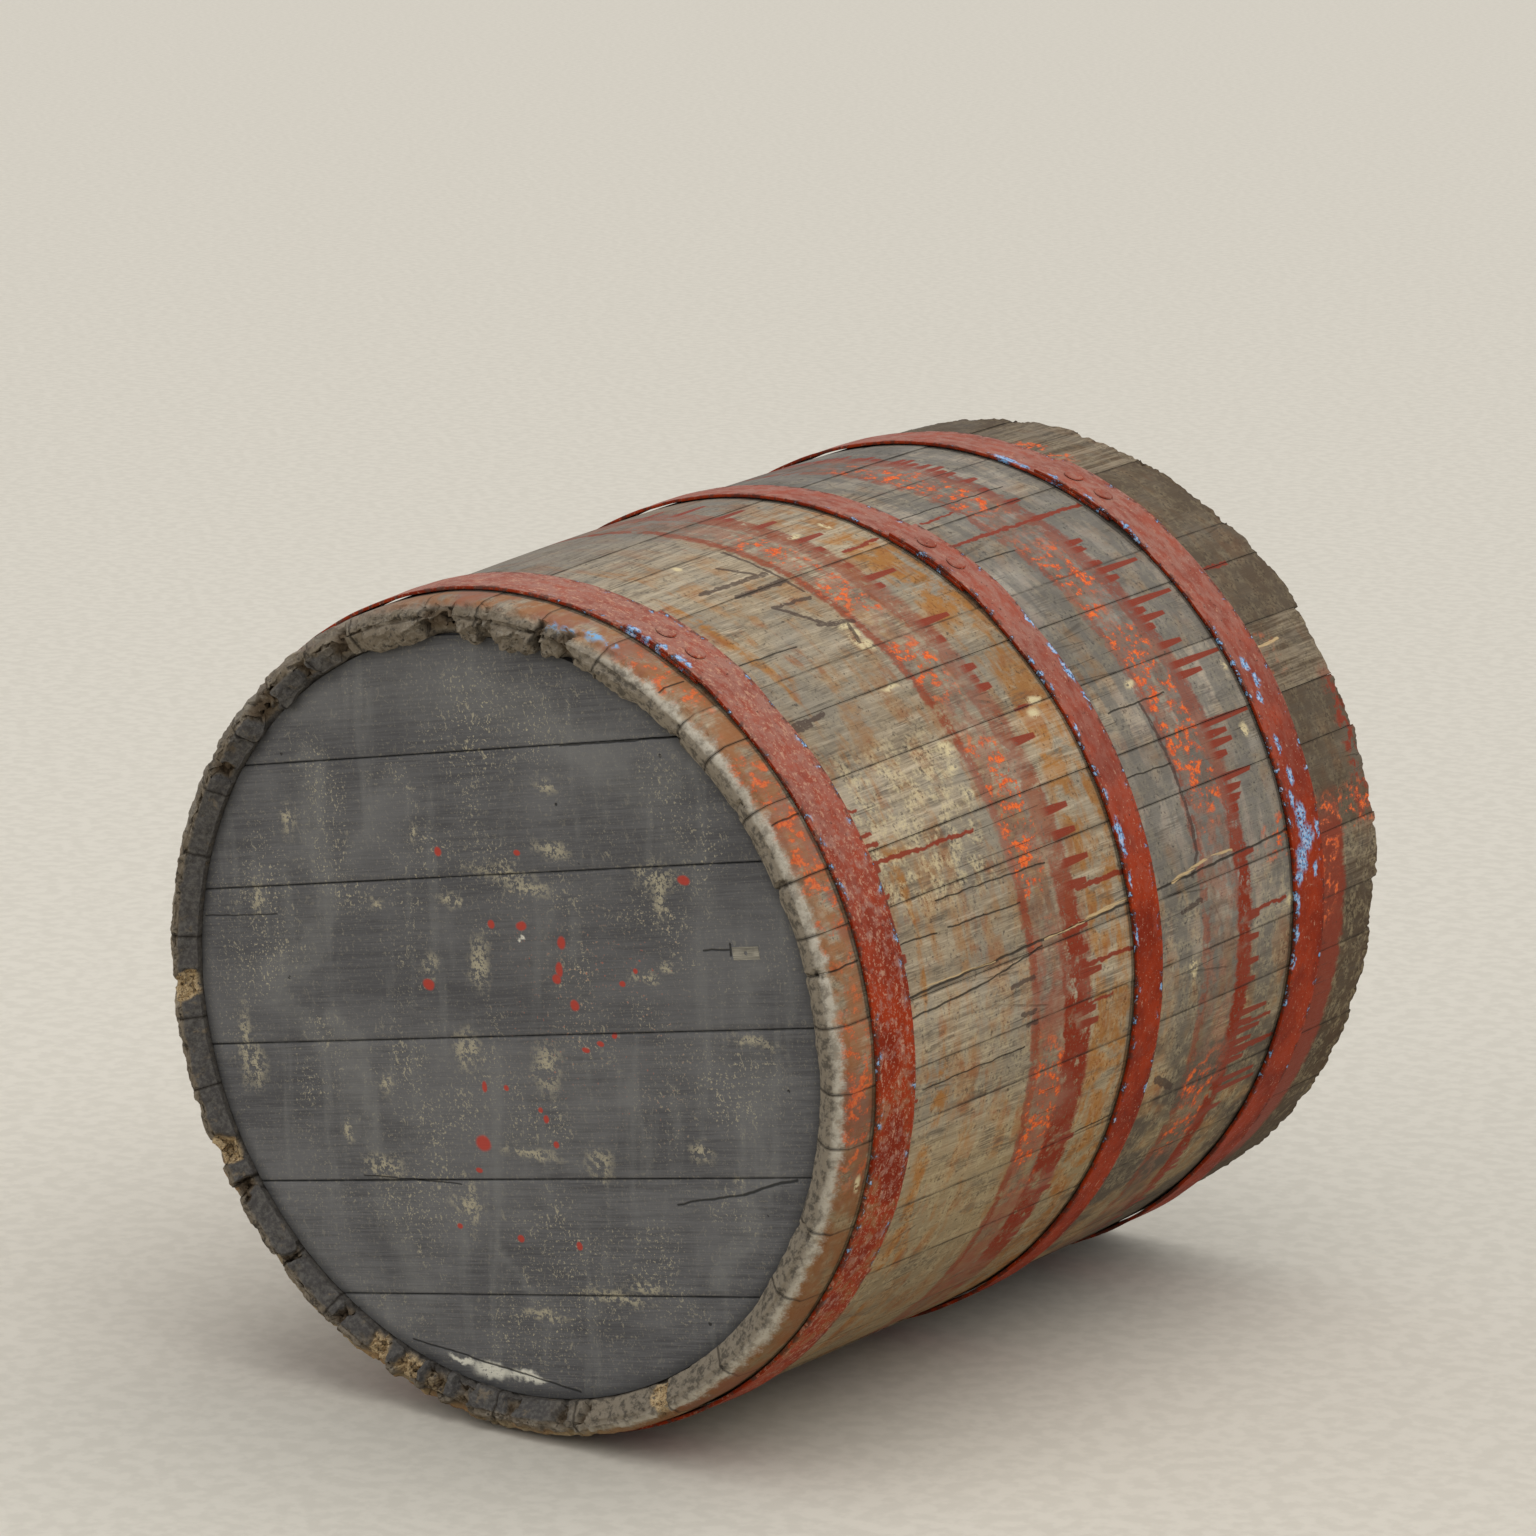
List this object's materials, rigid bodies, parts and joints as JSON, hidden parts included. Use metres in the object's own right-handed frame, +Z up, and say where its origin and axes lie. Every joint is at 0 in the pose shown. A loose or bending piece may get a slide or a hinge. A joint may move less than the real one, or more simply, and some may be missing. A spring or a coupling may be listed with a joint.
{
  "type": "wine barrel",
  "caption": "Old open-topped oak barrel lying on its side: tapered staves, a boarded head at the small end, flat riveted iron hoops, worn rims.",
  "frame": {"origin": "on the floor, under the middle of the barrel as it lies on its side", "axes": "+Z up. The barrel's axis runs along +Y from the head end to the open end and rises by 2.3 degrees, because it rests on its head hoop and its middle hoop. +X is to the right, seen from the head end."},
  "size_m": [0.6472, 0.7189, 0.6511],
  "materials": {
    "weathered_oak": "dry, weathered and paint-stained",
    "head_oak": "dark grey, dusty and scratched",
    "red_painted_iron": "worn red oxide paint",
    "fresh_oak": "unpainted"
  },
  "bodies": {
    "root": {"stave_01": "weathered_oak", "stave_02": "weathered_oak", "stave_03": "weathered_oak", "stave_04": "weathered_oak", "stave_05": "weathered_oak", "stave_06": "weathered_oak", "stave_07": "weathered_oak", "stave_08": "weathered_oak", "stave_09": "weathered_oak", "stave_10": "weathered_oak", "stave_11": "weathered_oak", "stave_12": "weathered_oak", "stave_13": "weathered_oak", "stave_14": "weathered_oak", "stave_15": "weathered_oak", "stave_16": "weathered_oak", "stave_17": "weathered_oak", "stave_18": "weathered_oak", "stave_19": "weathered_oak", "stave_20": "weathered_oak", "stave_21": "weathered_oak", "stave_22": "weathered_oak", "stave_23": "weathered_oak", "stave_24": "weathered_oak", "stave_25": "weathered_oak", "stave_26": "weathered_oak", "stave_27": "weathered_oak", "stave_28": "weathered_oak", "stave_29": "weathered_oak", "stave_30": "weathered_oak", "stave_31": "weathered_oak", "stave_32": "weathered_oak", "head_board_1": "head_oak", "head_board_2": "head_oak", "head_board_3": "head_oak", "head_board_4": "head_oak", "head_board_5": "head_oak", "head_board_6": "head_oak", "head_hoop": "red_painted_iron", "middle_hoop": "red_painted_iron", "open_end_hoop": "red_painted_iron", "head_hoop_rivets": "red_painted_iron", "middle_hoop_rivets": "red_painted_iron", "open_end_hoop_rivets": "red_painted_iron", "head_dowels": "fresh_oak", "head_repair_plug": "fresh_oak"}
  },
  "joints": []
}
